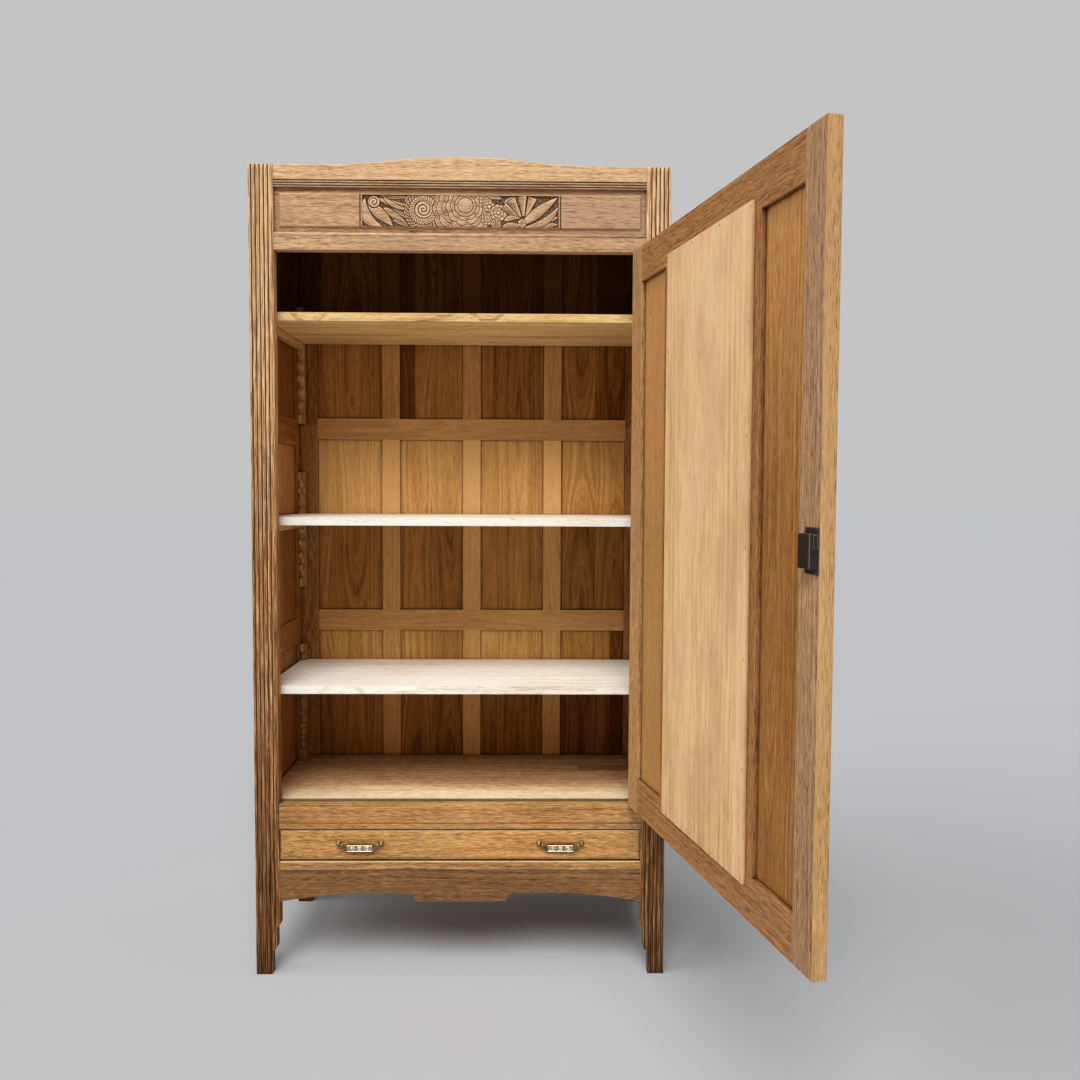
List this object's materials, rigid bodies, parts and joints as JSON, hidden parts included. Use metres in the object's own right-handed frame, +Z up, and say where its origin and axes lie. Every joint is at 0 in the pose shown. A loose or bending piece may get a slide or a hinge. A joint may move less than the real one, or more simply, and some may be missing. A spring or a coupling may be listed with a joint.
{
  "type": "bonnetiere cabinet",
  "caption": "Tall narrow oak cupboard with one mirrored door, three shelves on notched racks, a drawer with drop handles and an arched top over a carved frieze.",
  "frame": {"origin": "on the floor under the middle of the carcass, which the open door is not part of", "axes": "+X to the cabinet's right as one faces it, +Y to its back, +Z up"},
  "size_m": [1.1371, 1.3227, 1.9749],
  "materials": {
    "oak_frame": "waxed oak, satin, open grain",
    "oak_panel": "waxed oak, satin, figured",
    "oak_inner": "bare oak, matt, dusty",
    "new_pine": "bare yellow pine, matt",
    "white_spruce": "bare planed spruce, matt",
    "plywood": "thin plywood, matt",
    "mirror": "bevelled silvered glass",
    "brass": "antique brass, worn bright",
    "iron": "black iron",
    "steel": "dull steel"
  },
  "bodies": {
    "cabinet": {"apron": "oak_frame", "back_muntins": "oak_frame", "back_panels": "oak_panel", "back_rails": "oak_frame", "board_bearers": "oak_inner", "drawer_kickers": "oak_inner", "drawer_runners": "oak_inner", "floor_board": "oak_inner", "frieze_lower_rail": "oak_frame", "frieze_panel": "oak_panel", "front_rail": "oak_frame", "hinge_pins": "steel", "hinge_post_halves": "brass", "left_front_post": "oak_frame", "left_racks": "new_pine", "left_rear_post": "oak_frame", "left_side_panels": "oak_panel", "left_side_rails": "oak_frame", "left_side_stiles": "oak_frame", "lower_drawer_rail": "oak_frame", "right_front_post": "oak_frame", "right_racks": "new_pine", "right_rear_post": "oak_frame", "right_side_panels": "oak_panel", "right_side_rails": "oak_frame", "right_side_stiles": "oak_frame", "shelf_bottom": "white_spruce", "shelf_cleats": "new_pine", "shelf_middle": "white_spruce", "shelf_top": "new_pine", "strike_plate": "iron", "top_board": "oak_inner", "top_rail": "oak_frame", "upper_drawer_rail": "oak_frame"},
    "door": {"door_hinge_stile": "oak_frame", "door_lock_stile": "oak_frame", "door_rails": "oak_frame", "door_muntins": "oak_frame", "door_panels": "oak_panel", "door_mirror": "mirror", "door_back_board": "plywood", "board_nails": "steel", "lock_case": "iron", "lock_plate": "iron", "lock_screws": "steel", "hinge_door_halves": "brass"},
    "bolt": {"lock_bolt": "iron"},
    "drawer": {"drawer_front": "oak_panel", "drawer_sides": "oak_inner", "drawer_back": "oak_inner", "drawer_bottom": "oak_inner", "handle_knobs": "brass"},
    "left_bail": {"left_handle_bail": "brass"},
    "right_bail": {"right_handle_bail": "brass"}
  },
  "joints": [
    {"name": "door_hinge", "type": "hinge", "parent": "cabinet", "child": "door", "pos_m": [0.44075, -0.233, 1.09], "axis": [0, 0, 1], "range_deg": [-103.4, 66.6]},
    {"name": "lock_bolt_slide", "type": "slide", "parent": "door", "child": "bolt", "axis": [0.2317, -0.9728, 0], "range_m": [0, 0.012]},
    {"name": "drawer_slide", "type": "slide", "parent": "cabinet", "child": "drawer", "axis": [0, -1, 0], "range_m": [0, 0.3]},
    {"name": "left_bail_swing", "type": "hinge", "parent": "drawer", "child": "left_bail", "pos_m": [-0.2446, -0.2319, 0.327], "axis": [-1, 0, 0], "range_deg": [0, 85]},
    {"name": "right_bail_swing", "type": "hinge", "parent": "drawer", "child": "right_bail", "pos_m": [0.2446, -0.2319, 0.327], "axis": [-1, 0, 0], "range_deg": [0, 85]}
  ]
}
